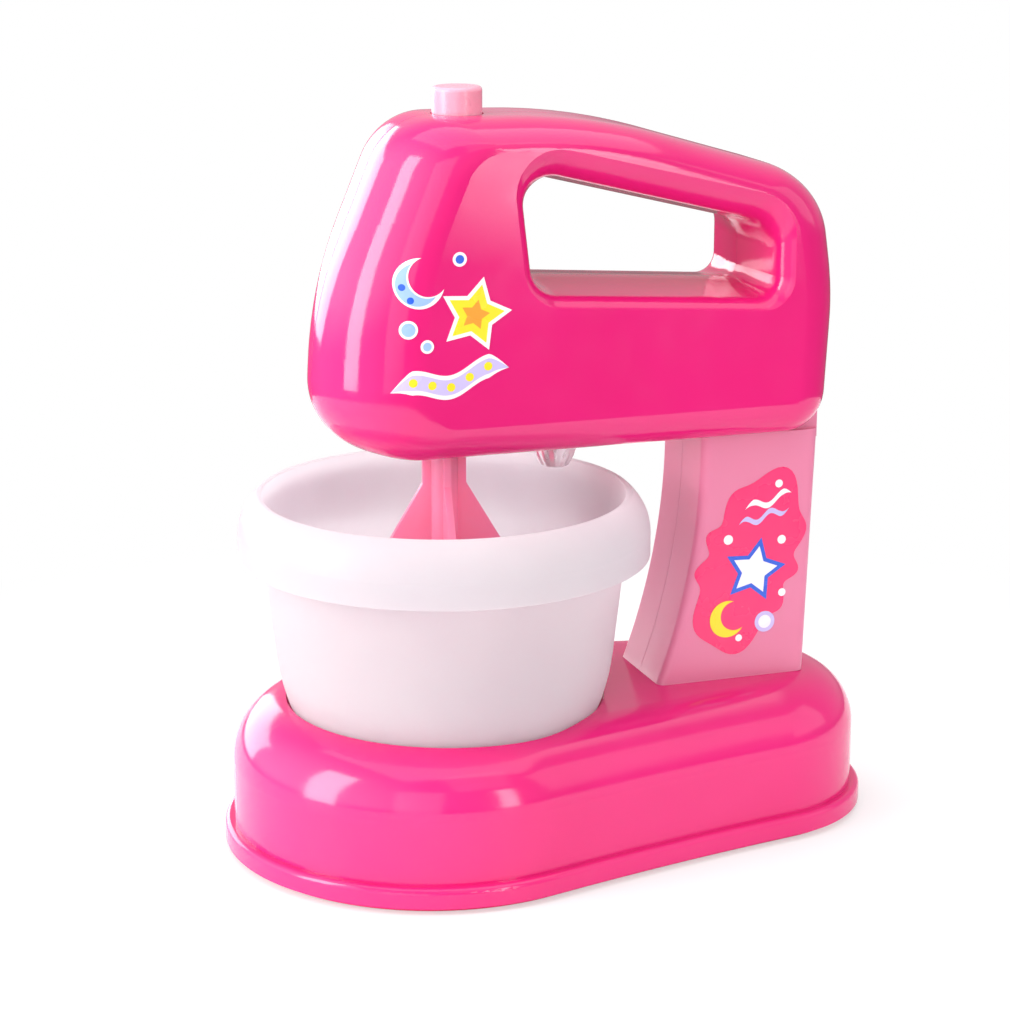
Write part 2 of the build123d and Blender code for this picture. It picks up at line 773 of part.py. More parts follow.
# Head shell: pillow-shaped outside, with the handle opening, the hinge slot at its heel,
# and holes for the button, the beater and the lamp
with BuildPart() as head_body:
    for s in shares:
        with BuildSketch(side.offset(s * head_half)):
            add(head_section(s, 0))
            make_face()
    loft()
    add(head_void.part, mode=Mode.SUBTRACT)
    add(grip_hole.part, mode=Mode.SUBTRACT)

slot_half = lug_half + body_gap
with BuildPart() as head_cuts:
    with BuildSketch(side):
        with Locations((hinge_x - lug_r - body_gap, hinge_z)):
            Rectangle(4 * lug_r, 4 * lug_r, align=(Align.MIN, Align.MAX))
        with Locations((hinge_x, hinge_z + tilt_clear)):
            Rectangle(4 * lug_r, 4 * lug_r, align=(Align.MIN, Align.MAX))
        with Locations((hinge_x, hinge_z)):
            Circle(lug_r + body_gap)
    extrude(amount=slot_half, both=True)
    with Locations(level.location):
        with Locations((button_x, 0, head_top - 2 * head_wall)):
            Cylinder(button_r + body_gap, 5 * head_wall, align=above)
        with Locations((0, 0, head_z)):
            Cylinder(hub_collar_r + body_gap, 4 * head_wall)
        with Locations((lamp_x, 0, head_z)):
            Cylinder(lens_r + seat_gap, 4 * head_wall)
    with Locations(side.location):
        with Locations((hinge_x, hinge_z)):
            Cylinder(pin_r, 2 * pin_half)

with BuildPart() as seam_lip:
    with BuildSketch(side.offset(-lip_h)):
        add(head_section(0, head_wall / 2))
        make_face()
        with BuildLine(mode=Mode.PRIVATE) as inner_line:
            add(head_section(0, head_wall - seat_gap))
        add(make_face(inner_line.line.edges(), mode=Mode.PRIVATE), mode=Mode.SUBTRACT)
    extrude(amount=2 * lip_h)

with BuildPart() as seam_groove:
    with BuildSketch(side.offset(-lip_h - seat_gap)):
        add(head_section(0, head_wall / 2 - seat_gap))
        make_face()
        with BuildLine(mode=Mode.PRIVATE) as inner_line:
            add(head_section(0, head_wall + seat_gap))
        add(make_face(inner_line.line.edges(), mode=Mode.PRIVATE), mode=Mode.SUBTRACT)
    extrude(amount=2 * lip_h)

with BuildPart() as head_left:
    add(head_body.part)
    split(bisect_by=Plane.XZ, keep=Keep.TOP)
    add(seam_lip.part)
    add(head_cuts.part, mode=Mode.SUBTRACT)
    with Locations(side.location):
        with Locations(*head_screw_spots):
            Cylinder(screw_r, screw_length / 2, align=above, mode=Mode.SUBTRACT)
head_left.part.label = "head_left"
export_step(head_left.part, "parts/head_left.step")

head_screw_seat = screw_length / 2
with BuildPart() as head_right:
    add(head_body.part)
    split(bisect_by=Plane.XZ, keep=Keep.BOTTOM)
    add(seam_groove.part, mode=Mode.SUBTRACT)
    add(head_cuts.part, mode=Mode.SUBTRACT)
    with Locations(side.location):
        with Locations(*head_screw_spots):
            Cylinder(screw_r + seat_gap, head_half, align=below, mode=Mode.SUBTRACT)
        with Locations(*[(x, z, -head_screw_seat) for x, z in head_screw_spots]):
            Cylinder(screw_head_r + body_gap, head_half, align=below, mode=Mode.SUBTRACT)
head_right.part.label = "head_right"
export_step(head_right.part, "parts/head_right.step")

head_screws = screw_group(
    [from_right * Location((x, -z, head_screw_seat)) for x, z in head_screw_spots], screw_length
)
head_screws.label = "head_screws"
export_step(head_screws, "parts/head_screws.step")

# Hinge pin: steel, held in the head, turning in the lug
with BuildPart() as hinge_pin:
    with Locations(side.location):
        with Locations((hinge_x, hinge_z)):
            Cylinder(pin_r, 2 * pin_half)
hinge_pin.part.label = "hinge_pin"
export_step(hinge_pin.part, "parts/hinge_pin.step")

# Gearbox tray: an open box with a screw pillar in each corner
tray_mid = gear_distance / 2
tray_l = gear_distance + 2 * tray_front
pillar_x = tray_l / 2 - tray_wall - small_boss_r / 2
pillar_y = tray_half - tray_wall - small_boss_r / 2
pillar_spots = []
for x in (-pillar_x, pillar_x):
    for y in (-pillar_y, pillar_y):
        pillar_spots.append((x, y))

with BuildPart() as gearbox_tray:
    with BuildSketch(Plane(origin=(bowl_x + tray_mid, 0, tray_z))):
        RectangleRounded(tray_l, 2 * tray_half, small_boss_r)
    extrude(amount=lid_z - tray_z)
    with BuildSketch(Plane(origin=(bowl_x + tray_mid, 0, tray_z + tray_t))):
        Rectangle(tray_l - 2 * tray_wall, 2 * (tray_half - tray_wall))
        with Locations(*pillar_spots):
            Circle(small_boss_r, mode=Mode.SUBTRACT)
    extrude(amount=lid_z, mode=Mode.SUBTRACT)
    with Locations((bowl_x + tray_mid, 0, lid_z)):
        with Locations(*pillar_spots):
            Cylinder(screw_r, small_screw_length - lid_t, align=below, mode=Mode.SUBTRACT)
    with Locations((bowl_x, 0, tray_z)):
        Cylinder(bush_r, 4 * tray_t, mode=Mode.SUBTRACT)
    with Locations((bowl_x + gear_distance, 0, tray_z + tray_t)):
        Cylinder(idler_axle_r, tray_t, mode=Mode.SUBTRACT)
gearbox_tray.part.label = "gearbox_tray"
export_step(gearbox_tray.part, "parts/gearbox_tray.step")

# Gearbox lid: carries the motor between two tabs
with BuildPart() as gearbox_lid:
    with BuildSketch(Plane(origin=(bowl_x + tray_mid, 0, lid_z))):
        RectangleRounded(tray_l, 2 * tray_half, small_boss_r)
    extrude(amount=lid_t)
    with Locations((bowl_x, 0, motor_z)):
        with Locations((0, tray_half - tray_wall / 2, 0), (0, tray_wall / 2 - tray_half, 0)):
            Box(motor_flat, tray_wall, motor_can_h / 2, align=above)
        Cylinder(motor_nose_r, 4 * lid_t, mode=Mode.SUBTRACT)
    with Locations((bowl_x + tray_mid, 0, lid_z)):
        with Locations(*pillar_spots):
            Cylinder(screw_r + seat_gap, 4 * lid_t, mode=Mode.SUBTRACT)
    with Locations((bowl_x + gear_distance, 0, lid_z)):
        Cylinder(idler_axle_r, lid_t, mode=Mode.SUBTRACT)
gearbox_lid.part.label = "gearbox_lid"
export_step(gearbox_lid.part, "parts/gearbox_lid.step")

gearbox_screws = screw_group(
    [Location((bowl_x + tray_mid + x, y, motor_z)) for x, y in pillar_spots], small_screw_length
)
gearbox_screws.label = "gearbox_screws"
export_step(gearbox_screws, "parts/gearbox_screws.step")

# Spindle bush and idler axle, both pressed into the tray
with BuildPart() as spindle_bush:
    with Locations((bowl_x, 0, tray_z + tray_t)):
        Cylinder(bush_r, bush_length, align=below)
        Cylinder(spindle_r + run_fit, 4 * bush_length, mode=Mode.SUBTRACT)
spindle_bush.part.label = "spindle_bush"
export_step(spindle_bush.part, "parts/spindle_bush.step")

with BuildPart() as idler_axle:
    with Locations((bowl_x + gear_distance, 0, tray_z + tray_t / 2)):
        Cylinder(idler_axle_r, lid_z + lid_t / 2 - tray_z - tray_t / 2, align=above)
idler_axle.part.label = "idler_axle"
export_step(idler_axle.part, "parts/idler_axle.step")

# Motor: flat-sided steel can with a plastic end cap
with BuildPart() as motor_can:
    with BuildSketch(Plane(origin=(bowl_x, 0, motor_z))):
        Circle(motor_r)
        Rectangle(2 * motor_flat, 2 * motor_r, mode=Mode.INTERSECT)
    extrude(amount=motor_can_h)
    with BuildSketch(Plane(origin=(bowl_x, 0, motor_z + motor_shell))):
        Circle(motor_r - motor_shell)
        Rectangle(2 * (motor_flat - motor_shell), 2 * motor_r, mode=Mode.INTERSECT)
    extrude(amount=motor_can_h, mode=Mode.SUBTRACT)
    with Locations((bowl_x, 0, motor_z)):
        Cylinder(motor_nose_r, motor_nose_h, align=below)
        Cylinder(motor_shaft_r + run_fit, 4 * motor_nose_h, mode=Mode.SUBTRACT)
motor_can.part.label = "motor_can"
export_step(motor_can.part, "parts/motor_can.step")

with BuildPart() as motor_cap:
    with BuildSketch(Plane(origin=(bowl_x, 0, motor_z + motor_can_h))):
        Circle(motor_r)
        Rectangle(2 * motor_flat, 2 * motor_r, mode=Mode.INTERSECT)
    extrude(amount=motor_cap_h)
    with Locations((bowl_x, 0, motor_z + motor_can_h)):
        Cylinder(motor_shaft_r + run_fit, motor_cap_h - motor_shell, align=above, mode=Mode.SUBTRACT)
motor_cap.part.label = "motor_cap"
export_step(motor_cap.part, "parts/motor_cap.step")

with BuildPart() as motor_shaft:
    with Locations((bowl_x, 0, idler_wheel_z - stage_gap / 4)):
        shaft_top = motor_top - motor_shell - body_gap
        Cylinder(motor_shaft_r, shaft_top - idler_wheel_z + stage_gap / 4, align=above)
    with Locations((bowl_x, 0, motor_z + motor_can_h / 2)):
        Cylinder(armature_r, armature_h)
motor_shaft.part.label = "motor_shaft"
export_step(motor_shaft.part, "parts/motor_shaft.step")

with BuildPart() as motor_pinion:
    with BuildSketch(Plane(origin=(bowl_x, 0, idler_wheel_z - stage_gap / 4))):
        Circle(pinion_root)
        with PolarLocations(0, pinion_teeth):
            Polygon(*pinion_tooth, align=None)
        Circle(motor_shaft_r, mode=Mode.SUBTRACT)
    extrude(amount=idler_wheel_t + stage_gap / 2)
motor_pinion.part.label = "motor_pinion"
export_step(motor_pinion.part, "parts/motor_pinion.step")

# Compound wheel: large wheel above, pinion below, running on the idler axle
with BuildPart() as compound_wheel:
    with BuildSketch(Plane(origin=(bowl_x + gear_distance, 0, idler_wheel_z))):
        Circle(wheel_root)
        with PolarLocations(0, wheel_teeth, start_angle=half_pitch):
            Polygon(*wheel_tooth, align=None)
    extrude(amount=idler_wheel_t)
    with BuildSketch(Plane(origin=(bowl_x + gear_distance, 0, tray_z + tray_t + body_gap))):
        Circle(pinion_root)
        with PolarLocations(0, pinion_teeth):
            Polygon(*pinion_tooth, align=None)
    extrude(amount=idler_wheel_z - tray_z - tray_t - body_gap)
    with Locations((bowl_x + gear_distance, 0, idler_wheel_z)):
        Cylinder(2 * idler_axle_r, lid_z - body_gap - idler_wheel_z, align=above)
        Cylinder(idler_axle_r + run_fit, head_z, mode=Mode.SUBTRACT)
compound_wheel.part.label = "compound_wheel"
export_step(compound_wheel.part, "parts/compound_wheel.step")

# Beater drive: wheel pressed on the spindle, spindle pressed in the beater
with BuildPart() as beater_wheel:
    with BuildSketch(Plane(origin=(bowl_x, 0, beater_wheel_z))):
        Circle(wheel_root)
        with PolarLocations(0, wheel_teeth, start_angle=half_pitch):
            Polygon(*wheel_tooth, align=None)
        Circle(spindle_r, mode=Mode.SUBTRACT)
    extrude(amount=beater_wheel_t)
beater_wheel.part.label = "beater_wheel"
export_step(beater_wheel.part, "parts/beater_wheel.step")

spindle_foot = head_z - neck_drop
with BuildPart() as spindle:
    with Locations((bowl_x, 0, spindle_foot)):
        Cylinder(spindle_r, beater_wheel_z + beater_wheel_t + stage_gap / 4 - spindle_foot, align=above)
spindle.part.label = "spindle"
export_step(spindle.part, "parts/spindle.step")

# Beater: four flat vanes on a round hub, narrow at the neck and flared to a bell
vane_top = head_z - body_gap
flare_z = head_z - neck_drop
bell_z = flare_z - vane_flare_h
vane_foot = bell_z - vane_h - vane_end_r
with BuildPart() as beater:
    for turn in (0, 90):
        with BuildSketch(side.rotated((0, 0, turn - vane_turn))):
            with BuildLine():
                for way in (-1, 1):
                    Polyline(
                        (0, vane_top),
                        (way * neck_r, vane_top),
                        (way * neck_r, flare_z),
                        (way * vane_r, bell_z),
                        (way * vane_r, bell_z - vane_h),
                    )
                    RadiusArc(
                        (way * vane_r, bell_z - vane_h),
                        (way * (vane_r - vane_end_r), vane_foot),
                        way * vane_end_r,
                    )
                Line((vane_end_r - vane_r, vane_foot), (vane_r - vane_end_r, vane_foot))
            make_face()
        extrude(amount=vane_t / 2, both=True)
    with Locations((bowl_x, 0, vane_foot)):
        Cylinder(hub_r, hub_top - vane_foot, align=above)
    with Locations((bowl_x, 0, hub_top)):
        Cylinder(hub_collar_r, hub_up + body_gap, align=below)
        Cylinder(spindle_r, hub_top - spindle_foot, align=below, mode=Mode.SUBTRACT)
beater.part.label = "beater"
export_step(beater.part, "parts/beater.step")

# Button: round cap with a flange under the head's skin and a stem into the switch
button_top = head_top + button_up
flange_z = head_top - head_wall - body_gap - button_flange_t - button_rest
with BuildPart() as button:
    with Locations((bowl_x + button_x, 0, flange_z)):
        Cylinder(button_r, button_top - flange_z, align=above)
    fillet(button.faces().sort_by(Axis.Z)[-1].edges(), button_edge_r)
    with Locations((bowl_x + button_x, 0, flange_z)):
        Cylinder(button_flange_r, button_flange_t, align=above)
        Cylinder(button_stem_r, flange_z - switch_z - switch_h + stem_reach, align=below)
button.part.label = "button"
export_step(button.part, "parts/button.step")

# Push switch on its shelf under the button
with BuildPart() as switch_body:
    with Locations((bowl_x + button_x, 0, switch_z)):
        Box(switch_side, switch_side, switch_h, align=above)
    with Locations((bowl_x + button_x, 0, switch_z + switch_h)):
        Cylinder(button_stem_r + body_gap, 2 * (button_travel + stem_room), mode=Mode.SUBTRACT)
switch_body.part.label = "switch_body"
export_step(switch_body.part, "parts/switch_body.step")

# Lamp: clear cup through the underside, a small LED on a round board above it
lens_tip_z = head_z - lens_drop
board_z = lens_seat + lens_flange_t
with BuildPart() as lamp_lens:
    with BuildSketch(Plane(origin=(bowl_x + lamp_x, 0, 0), x_dir=(1, 0, 0), z_dir=(0, -1, 0))):
        with BuildLine():
            Polyline(
                (0, lens_tip_z),
                (lens_tip_r, lens_tip_z),
                (lens_r, head_z),
                (lens_r, lens_seat),
                (lens_flange_r, lens_seat),
                (lens_flange_r, board_z),
                (lens_r - lens_wall, board_z),
                (lens_r - lens_wall, head_z),
                (lens_tip_r - lens_wall, lens_tip_z + lens_wall),
                (0, lens_tip_z + lens_wall),
                (0, lens_tip_z),
            )
        make_face()
    revolve(axis=Axis((bowl_x + lamp_x, 0, 0), (0, 0, 1)))
lamp_lens.part.label = "lamp_lens"
export_step(lamp_lens.part, "parts/lamp_lens.step")

with BuildPart() as lamp_board:
    with Locations((bowl_x + lamp_x, 0, board_z)):
        Cylinder(board_r, board_t, align=above)
lamp_board.part.label = "lamp_board"
export_step(lamp_board.part, "parts/lamp_board.step")

with BuildPart() as lamp_led:
    with Locations((bowl_x + lamp_x, 0, board_z)):
        Cylinder(led_r, led_length - led_r, align=below)
    with Locations((bowl_x + lamp_x, 0, board_z - led_length + led_r)):
        Sphere(led_r)
lamp_led.part.label = "lamp_led"
export_step(lamp_led.part, "parts/lamp_led.step")
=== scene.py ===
import json
from math import atan2, cos, pi, radians, sin

import bpy
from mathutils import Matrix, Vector
from mathutils.bvhtree import BVHTree
from mathutils.geometry import delaunay_2d_cdt

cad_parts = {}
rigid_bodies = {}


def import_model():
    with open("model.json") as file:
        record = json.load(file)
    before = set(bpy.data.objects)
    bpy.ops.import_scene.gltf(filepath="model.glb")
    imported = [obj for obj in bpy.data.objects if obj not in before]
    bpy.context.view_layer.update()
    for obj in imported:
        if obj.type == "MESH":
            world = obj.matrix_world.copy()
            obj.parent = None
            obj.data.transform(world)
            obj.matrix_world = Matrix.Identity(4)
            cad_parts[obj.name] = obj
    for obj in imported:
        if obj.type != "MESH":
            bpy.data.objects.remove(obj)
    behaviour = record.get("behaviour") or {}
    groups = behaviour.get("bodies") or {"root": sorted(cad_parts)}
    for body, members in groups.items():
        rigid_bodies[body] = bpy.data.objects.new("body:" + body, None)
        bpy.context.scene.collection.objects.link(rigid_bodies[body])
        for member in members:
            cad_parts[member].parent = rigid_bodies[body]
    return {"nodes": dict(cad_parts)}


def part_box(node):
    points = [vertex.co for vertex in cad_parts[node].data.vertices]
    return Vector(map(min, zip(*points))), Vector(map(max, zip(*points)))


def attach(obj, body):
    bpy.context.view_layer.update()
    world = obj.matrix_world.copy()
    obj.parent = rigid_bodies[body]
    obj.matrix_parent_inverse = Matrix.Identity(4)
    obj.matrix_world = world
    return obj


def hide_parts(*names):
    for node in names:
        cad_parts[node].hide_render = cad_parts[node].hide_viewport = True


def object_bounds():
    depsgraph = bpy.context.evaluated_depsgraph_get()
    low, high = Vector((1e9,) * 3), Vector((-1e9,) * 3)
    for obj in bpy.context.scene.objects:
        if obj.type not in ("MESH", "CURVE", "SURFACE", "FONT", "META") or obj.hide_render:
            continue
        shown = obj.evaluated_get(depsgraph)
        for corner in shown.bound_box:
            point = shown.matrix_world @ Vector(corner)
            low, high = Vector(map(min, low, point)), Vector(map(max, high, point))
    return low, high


for leftover in list(bpy.data.objects):
    bpy.data.objects.remove(leftover)
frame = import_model()
cad_box = [list(corner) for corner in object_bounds()]

# Base plate and battery door: the flat underside of the toy, moulded in ABS.
# Their moulds are spark-eroded, so both are duller than the shells; one screw holds the door,
# five hold the plate.
MM = 0.001


def linear(code):
    """Linear RGBA of an sRGB hex colour."""
    channels = [int(code[i : i + 2], 16) / 255 for i in (1, 3, 5)]
    return [c / 12.92 if c <= 0.04045 else ((c + 0.055) / 1.055) ** 2.4 for c in channels] + [1.0]


def node(tree, kind, links=None, **settings):
    """Adds a shader node; settings go to its properties or sockets, links feed its sockets."""
    made = tree.nodes.new("ShaderNode" + kind)
    for key, value in settings.items():
        if hasattr(made, key):
            setattr(made, key, value)
    for key, value in settings.items():
        if not hasattr(made, key):
            made.inputs[key.replace("_", " ")].default_value = value
    for key, source in (links or {}).items():
        tree.links.new(source, made.inputs[key])
    return made


def material(name):
    """An empty node material and the socket of its surface."""
    made = bpy.data.materials.new(name)
    made.use_nodes = True
    made.node_tree.nodes.clear()
    out = node(made.node_tree, "OutputMaterial")
    return made, made.node_tree, out.inputs["Surface"]


FLOW_MM = 38
WIPE_MM = 7
SEAM_MM = 0.22
SEAM_DEPTH_MM = 0.15


def plastic(name, pale, deep, gloss, ripple_mm, ripple_depth_mm, seam=False, glow=0.0, **shader):
    """Plastic: its colour drifts with the melt's flow, its gloss varies, its skin ripples faintly.

    With a seam, the parting line of two halves at y = 0 shows as a hairline groove.
    With a glow, that share of the light that meets the wall passes through it, as in milky plastic.
    """
    made, tree, surface = material(name)
    place = node(tree, "TexCoord").outputs["Object"]
    flow = node(tree, "TexNoise", {"Vector": place}, Scale=1 / (FLOW_MM * MM), Detail=2.0, Distortion=0.6)
    colour = node(tree, "ValToRGB", {"Fac": flow.outputs["Fac"]})
    colour.color_ramp.elements[0].position = 0.35
    colour.color_ramp.elements[0].color = linear(deep)
    colour.color_ramp.elements[1].position = 0.65
    colour.color_ramp.elements[1].color = linear(pale)
    wipe = node(tree, "TexNoise", {"Vector": place}, Scale=1 / (WIPE_MM * MM), Detail=3.0)
    rough = node(
        tree, "MapRange", {"Value": wipe.outputs["Fac"]}, From_Min=0.3, From_Max=0.7,
        To_Min=gloss - 0.025, To_Max=gloss + 0.035,
    )
    ripple = node(tree, "TexNoise", {"Vector": place}, Scale=1 / (ripple_mm * MM), Detail=1.5)
    relief = node(
        tree, "Bump", {"Height": ripple.outputs["Fac"]}, Strength=1.0, Distance=ripple_depth_mm * MM
    )
    normal = relief.outputs["Normal"]
    if seam:
        across = node(tree, "SeparateXYZ", {"Vector": place})
        off = node(tree, "Math", {0: across.outputs["Y"]}, operation="ABSOLUTE")
        groove = node(
            tree, "MapRange", {"Value": off.outputs[0]}, interpolation_type="SMOOTHSTEP",
            From_Min=0.0, From_Max=SEAM_MM * MM, To_Min=0.0, To_Max=1.0,
        )
        line = node(
            tree, "Bump", {"Height": groove.outputs[0], "Normal": normal}, Strength=0.8,
            Distance=SEAM_DEPTH_MM * MM,
        )
        normal = line.outputs["Normal"]
    skin = node(
        tree, "BsdfPrincipled",
        {"Base Color": colour.outputs["Color"], "Roughness": rough.outputs[0], "Normal": normal},
        **shader,
    )
    if glow:
        through = node(tree, "BsdfTranslucent", {"Color": colour.outputs["Color"], "Normal": normal})
        skin = node(tree, "MixShader", {1: skin.outputs[0], 2: through.outputs[0]}, Fac=glow)
    tree.links.new(skin.outputs[0], surface)
    return made


def finish(made, *names):
    """Gives CAD nodes their material."""
    for name in names:
        frame["nodes"][name].data.materials.clear()
        frame["nodes"][name].data.materials.append(made)


# Matt moulded ABS: spark-eroded mould faces scatter the light, so there is no sharp reflection.
plate_abs = plastic("matt_moulded_abs_plate", "#E2206C", "#D81B62", 0.42, 0.9, 0.02, IOR=1.53)
finish(plate_abs, "base_plate", "battery_door")

# Battery cells, their contacts, shafts and all screws: bought parts.
# Zinc-plated steel screws and contacts, ground steel shafts, turned brass, cells in a shrunk sleeve.


def plated(name, colour, gloss, streak_mm):
    """Bare or plated metal: fine drawn streaks along z break up the reflection."""
    made, tree, surface = material(name)
    place = node(tree, "TexCoord").outputs["Object"]
    drawn = node(tree, "Mapping", {"Vector": place}, Scale=(1.0, 1.0, 0.1))
    streaks = node(tree, "TexNoise", {"Vector": drawn.outputs[0]}, Scale=1 / (streak_mm * MM), Detail=4.0)
    rough = node(
        tree, "MapRange", {"Value": streaks.outputs["Fac"]}, To_Min=gloss - 0.08, To_Max=gloss + 0.12
    )
    relief = node(tree, "Bump", {"Height": streaks.outputs["Fac"]}, Strength=0.6, Distance=0.01 * MM)
    skin = node(
        tree, "BsdfPrincipled", {"Roughness": rough.outputs[0], "Normal": relief.outputs[0]},
        Base_Color=linear(colour), Metallic=1.0,
    )
    tree.links.new(skin.outputs[0], surface)
    return made


# Zinc plating is a grey, slightly soft mirror.
screw_steel = plated("zinc_plated_steel", "#B9BCC0", 0.3, 0.4)
finish(
    screw_steel, "base_screws", "battery_door_screw", "column_screws", "column_foot_screws", "head_screws",
    "gearbox_screws", "battery_contacts",
)
# Ground steel mirrors more sharply, with marks along the bar.
ground_steel = plated("ground_steel", "#C9CACC", 0.18, 0.3)
finish(ground_steel, "hinge_pin", "idler_axle", "motor_shaft", "spindle", "motor_can")
# Turned brass: a warm yellow mirror.
turned_brass = plated("turned_brass", "#D9B25F", 0.22, 0.3)
finish(turned_brass, "spindle_bush", "motor_pinion")
# Shrink sleeve: thin PVC drawn tight, so it is smooth and evenly glossy.
cell_sleeve = plastic("pvc_shrink_sleeve", "#3A4A63", "#2F3E57", 0.28, 2.0, 0.01, IOR=1.54)
finish(cell_sleeve, "battery_cells")

# Base shell: one hollow moulding in glossy ABS with a proud flange round its foot.
# Five screws from below hold it to the plate.
GLOSSY_ABS = {"IOR": 1.53, "Subsurface_Weight": 0.06, "Subsurface_Scale": 1.2 * MM}
GLOSSY_ABS["Subsurface_Radius"] = (1.0, 0.25, 0.4)
# Polished ABS: the mould's mirror finish gives sharp reflections over a deep, saturated colour.
shell_abs = plastic("glossy_moulded_abs_pink", "#DD2074", "#DA1D70", 0.13, 4.5, 0.006, **GLOSSY_ABS)
finish(shell_abs, "base_shell")

# Column: two half mouldings in pale ABS, joined by two screws from the far side.
# It stands on the base shell, and four screws come up through the shell into its foot.
PALE_ABS = {"IOR": 1.53, "Subsurface_Weight": 0.12, "Subsurface_Scale": 2.0 * MM}
PALE_ABS["Subsurface_Radius"] = (1.0, 0.5, 0.6)
# Satin ABS: its mould is less polished, so its reflection is a soft haze.
column_abs = plastic(
    "satin_moulded_abs_pale", "#E886A9", "#E581A5", 0.3, 3.0, 0.008, seam=True, glow=0.12, **PALE_ABS
)
finish(column_abs, "column_left", "column_right")

# Sticker on the column's left face: hot-pink vinyl with a wavy die-cut edge and printed motifs,
# 0.1 mm thick, laid on by hand. Its motifs are generic: a star, a ball, a crescent, waves and dots.
VINYL_MM = 0.1
INK_MM = 0.02


def circle(x, z, radius, count=40):
    """Round outline."""
    turns = [2 * pi * i / count for i in range(count)]
    return [(x + radius * cos(t), z + radius * sin(t)) for t in turns]


def star(x, z, tip, notch, lean):
    """Five-pointed outline, leaning by some degrees."""
    spots = []
    for i in range(10):
        turn = radians(36 * i + lean)
        reach = notch if i % 2 else tip
        spots.append((x + reach * sin(turn), z + reach * cos(turn)))
    return spots


def crescent(x, z, radius, width, tip, lean):
    """Moon-shaped outline: its width at the back, its tips' angle from its opening, its lean in degrees."""
    back = width - radius
    opening = radius * cos(radians(tip))
    middle = (radius**2 - back**2) / (2 * (opening - back))
    bite = middle - back
    start = atan2(radius * sin(radians(tip)), opening - middle)
    spots = []
    for i in range(31):
        turn = radians(tip) + (2 * pi - 2 * radians(tip)) * i / 30
        spots.append((radius * cos(turn), radius * sin(turn)))
    for i in range(29, 0, -1):
        turn = start + (2 * pi - 2 * start) * i / 30
        spots.append((middle + bite * cos(turn), bite * sin(turn)))
    u = Vector((cos(radians(lean)), sin(radians(lean))))
    return [(x + p * u.x - q * u.y, z + p * u.y + q * u.x) for p, q in spots]


def wave_middle(share, swing, bends, rise, **place):
    """Height of a wavy band's middle line at a share of its length."""
    return rise * (share - 0.5) + swing * sin(2 * pi * bends * share)


def wave(width, x, z, length, **form):
    """Wavy band with pointed ends; its form is its swing, its number of bends and its rise."""
    upper = []
    lower = []
    for i in range(41):
        share = i / 40
        middle = z + wave_middle(share, **form)
        half = width / 2 * min(1.0, 6 * share, 6 * (1 - share))
        upper.append((x + length * (share - 0.5), middle + half))
        lower.append((x + length * (share - 0.5), middle - half))
    return upper + lower[-2:0:-1]


def sticker(name, wearer, body, origin, layers):
    """Vinyl laid on a CAD node's left face; each layer of outlines is printed over the one before.

    Outlines are in millimetres round the origin (x, z). Each layer is meshed as a closed slab that
    follows the face it lies on.
    """
    face = BVHTree.FromObject(frame["nodes"][wearer], bpy.context.evaluated_depsgraph_get())
    points = []
    faces = []
    inks = []
    for level, (ink, outlines) in enumerate(layers):
        flat = []
        rims = []
        for outline in outlines:
            count = len(outline)
            rims += [(len(flat) + i, len(flat) + (i + 1) % count) for i in range(count)]
            flat += outline
        xs = [x for x, z in flat]
        zs = [z for x, z in flat]
        for i in range(int(min(xs)), int(max(xs)) + 1):
            for k in range(int(min(zs)), int(max(zs)) + 1):
                flat.append((i, k))
        spots, _, cells, *_ = delaunay_2d_cdt([Vector(p) for p in flat], rims, [], 2, 1e-4)
        top = VINYL_MM + level * INK_MM
        bottom = top - INK_MM if level else 0.0
        used = sorted({i for cell in cells for i in cell})
        upper = {}
        lower = {}
        for i in used:
            start = Vector((origin[0] + spots[i].x * MM, -0.1, origin[1] + spots[i].y * MM))
            place, normal, *_ = face.ray_cast(start, Vector((0, 1, 0)))
            upper[i] = len(points)
            points.append(place + normal * top * MM)
            lower[i] = len(points)
            points.append(place + normal * bottom * MM)
        sides = {}
        for cell in cells:
            for a, b in zip(cell, list(cell[1:]) + [cell[0]]):
                sides[a, b] = True
            faces.append([upper[i] for i in cell])
            faces.append([lower[i] for i in reversed(cell)])
            inks += [level, level]
        for a, b in sides:
            if (b, a) not in sides:
                faces.append([upper[b], upper[a], lower[a], lower[b]])
                inks.append(level)
    mesh = bpy.data.meshes.new(name)
    mesh.from_pydata(points, [], faces)
    mesh.polygons.foreach_set("material_index", inks)
    for ink, outlines in layers:
        mesh.materials.append(ink)
    mesh.validate()
    made = bpy.data.objects.new(name, mesh)
    bpy.context.scene.collection.objects.link(made)
    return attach(made, body)


# Printed vinyl: an even ink layer under a soft gloss, with the faint orange-peel of the film.
VINYL = {"IOR": 1.52}
hot_pink = plastic("printed_vinyl_hot_pink", "#EE2C70", "#EA276A", 0.26, 1.2, 0.006, **VINYL)
ink_white = plastic("printed_vinyl_white", "#F1ECF1", "#ECE6ED", 0.26, 1.2, 0.006, **VINYL)
ink_lilac = plastic("printed_vinyl_lilac", "#C9BBEA", "#BFAFE6", 0.26, 1.2, 0.006, **VINYL)
ink_blue = plastic("printed_vinyl_blue", "#2A5FD6", "#2355CB", 0.26, 1.2, 0.006, **VINYL)
ink_yellow = plastic("printed_vinyl_yellow", "#F3DB22", "#EFD30F", 0.26, 1.2, 0.006, **VINYL)
ink_orange = plastic("printed_vinyl_orange", "#EF9A2C", "#EA8F1E", 0.26, 1.2, 0.006, **VINYL)
ink_sky = plastic("printed_vinyl_sky", "#9DBCF2", "#8FB0EE", 0.26, 1.2, 0.006, **VINYL)

